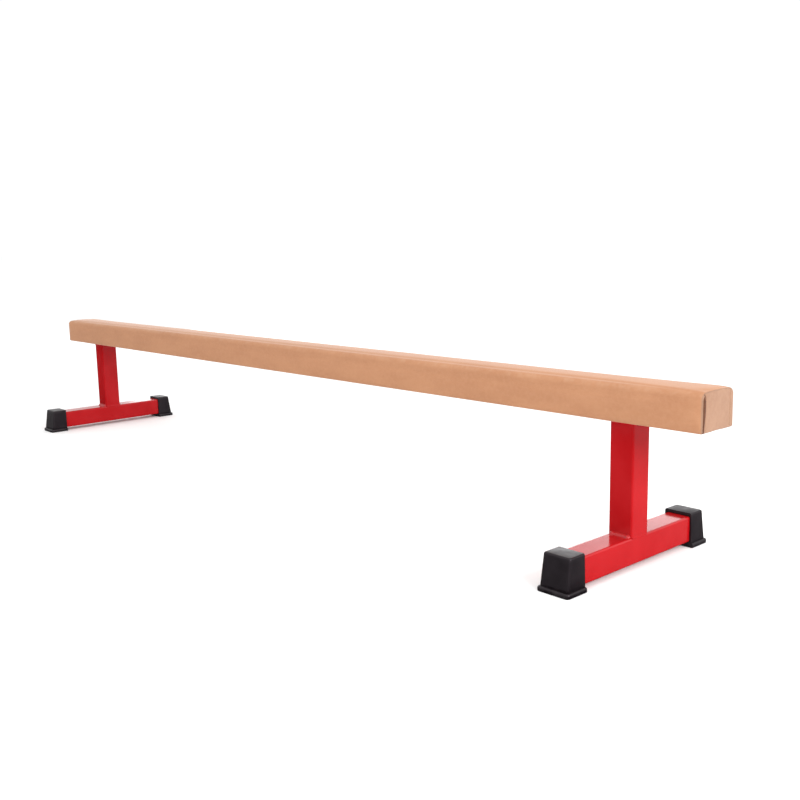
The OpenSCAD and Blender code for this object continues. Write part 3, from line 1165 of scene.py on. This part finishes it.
def make_floor():
    """Large pale floor, clear from below so that the underside can be seen."""
    floor = level_sheet("floor", 60, -0.2 * MM)
    f = Finish("floor", IOR=1.2, Specular_IOR_Level=0.0, Roughness=0.9)
    cloud = f.noise(1.2, 3, 0.5)
    f.feed("Base Color", f.blend(f.mapped(cloud), (0.965, 0.965, 0.965), (0.975, 0.975, 0.975)))
    clear = f.add("BsdfTransparent")
    mix = f.add("MixShader")
    geometry = f.add("NewGeometry")
    f.link(geometry.outputs["Backfacing"], mix.inputs["Fac"])
    f.link(f.shader.outputs["BSDF"], mix.inputs[1])
    f.link(clear.outputs["BSDF"], mix.inputs[2])
    f.link(mix.outputs["Shader"], f.tree.nodes["Material Output"].inputs["Surface"])
    floor.data.materials.append(f.material)


def make_light(name, at, aim, size, power):
    """A soft box that the camera does not see."""
    lamp = bpy.data.lights.new(name, "AREA")
    lamp.shape = "RECTANGLE"
    lamp.size, lamp.size_y = size
    lamp.energy = power
    light = bpy.data.objects.new(name, lamp)
    light.location = at
    light.rotation_mode = "QUATERNION"
    light.rotation_quaternion = (Vector(aim) - Vector(at)).to_track_quat("-Z", "Y")
    light.visible_camera = False
    bpy.context.scene.collection.objects.link(light)


def make_reflection_sheet():
    """Dark sheet over the floor, dark in front and grey behind, seen only in reflections: a painted
    reflection that deepens the gloss.
    """
    reflection_sheet = level_sheet("reflection_sheet", 8, -0.1 * MM)
    for rays in ("camera", "diffuse", "shadow", "transmission"):
        setattr(reflection_sheet, f"visible_{rays}", False)
    f = Finish("reflection_sheet", Roughness=0.9, Specular_IOR_Level=0.0)
    mottle = f.noise(300, 2, 0.5)
    tone = f.blend(f.mapped(mottle), (0.17, 0.17, 0.175), (0.23, 0.23, 0.235))
    # Painted reflection: near black in front of the beam, so that the faces turned towards it reflect dark.
    f.feed("Base Color", f.blend(f.mapped(f.axis("Y"), -0.05, -0.20), tone, (0.020, 0.020, 0.021)))
    reflection_sheet.data.materials.append(f.material)


def make_world():
    """White light from all round, which with the floor gives a plain white background."""
    world = bpy.data.worlds.new("studio")
    world.use_nodes = True
    background = world.node_tree.nodes["Background"]
    background.inputs["Color"].default_value = (1, 1, 1, 1)
    background.inputs["Strength"].default_value = 1.04
    bpy.context.scene.world = world
    bpy.context.scene.view_settings.view_transform = "Standard"


CAMERA_AT = Vector((1.9972, -1.4228, 0.5883))
CAMERA_YAW = math.radians(-47.852)
CAMERA_PITCH = math.radians(9.433)
CAMERA_ROLL = math.radians(-1.117)
CAMERA_LENS = 43.37  # in mm, with a 36 mm sensor


def make_camera():
    """A camera facing along Y, turned clockwise by its yaw, then pitched down and rolled."""
    lens = bpy.data.cameras.new("camera")
    lens.sensor_width = 36
    lens.lens = CAMERA_LENS
    lens.clip_start = 0.01
    lens.clip_end = 200
    camera = bpy.data.objects.new("camera", lens)
    bpy.context.scene.collection.objects.link(camera)
    level = Matrix.Rotation(-CAMERA_YAW, 3, "Z")
    pitched = level @ Matrix.Rotation(math.pi / 2 - CAMERA_PITCH, 3, "X")
    camera.rotation_mode = "QUATERNION"
    camera.rotation_quaternion = (pitched @ Matrix.Rotation(CAMERA_ROLL, 3, "Z")).to_quaternion()
    camera.location = CAMERA_AT
    bpy.context.scene.camera = camera


make_floor()
make_world()
make_reflection_sheet()
make_light("key", (4.2, -0.2, 1.9), (0.9, 0, 0.2), (2.6, 1.6), 116)
make_light("overhead", (1.2, -1.0, 2.5), (0.7, -0.1, 0.2), (2.0, 2.0), 14)
make_light("backdrop", (-2.6, 3.2, 0.8), (0.4, 0, 0.2), (4.5, 1.4), 32)
make_camera()
